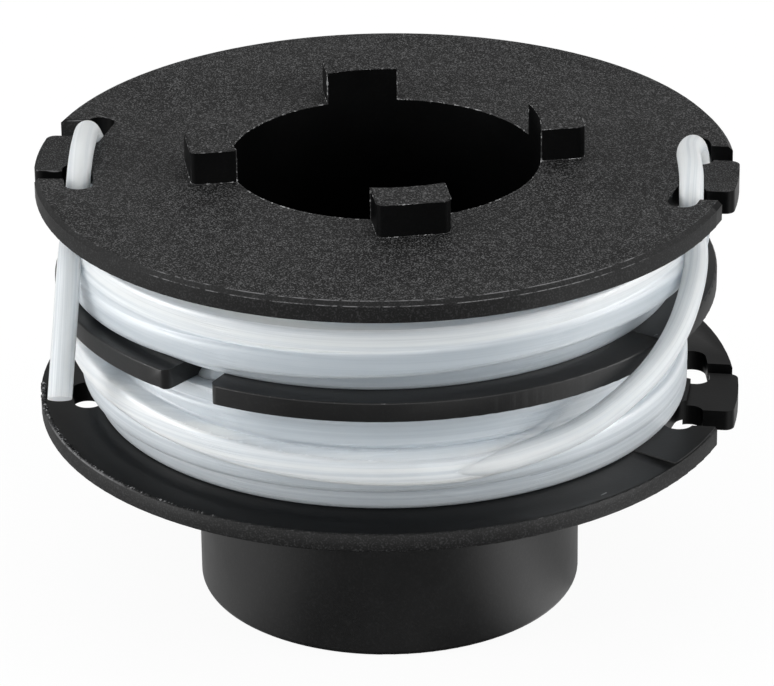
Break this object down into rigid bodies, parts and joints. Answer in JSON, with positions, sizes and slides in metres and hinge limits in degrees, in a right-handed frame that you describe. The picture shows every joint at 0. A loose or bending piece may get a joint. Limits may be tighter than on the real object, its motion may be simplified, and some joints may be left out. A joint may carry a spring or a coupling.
{
  "type": "trimmer line spool",
  "caption": "String trimmer line spool: hollow flanged drum with a divider between its winding channels, rim line eyes, drive lugs and a round knob, wound with clear nylon line.",
  "frame": {"origin": "centre of the knob's flat underside, where the spool stands", "axes": "+Z along the spool's axis, out of the open bore; +X to the right and +Y away from the viewer in the picture"},
  "size_m": [0.0589, 0.0586, 0.041],
  "materials": {
    "black_plastic": "moulded black plastic, fine grain on the flange faces, satin rims",
    "nylon_line": "translucent milky nylon line, smooth"
  },
  "bodies": {
    "root": {"spool_body": "black_plastic", "wound_line": "nylon_line", "upper_line_end": "nylon_line", "lower_line_end": "nylon_line"}
  },
  "joints": []
}
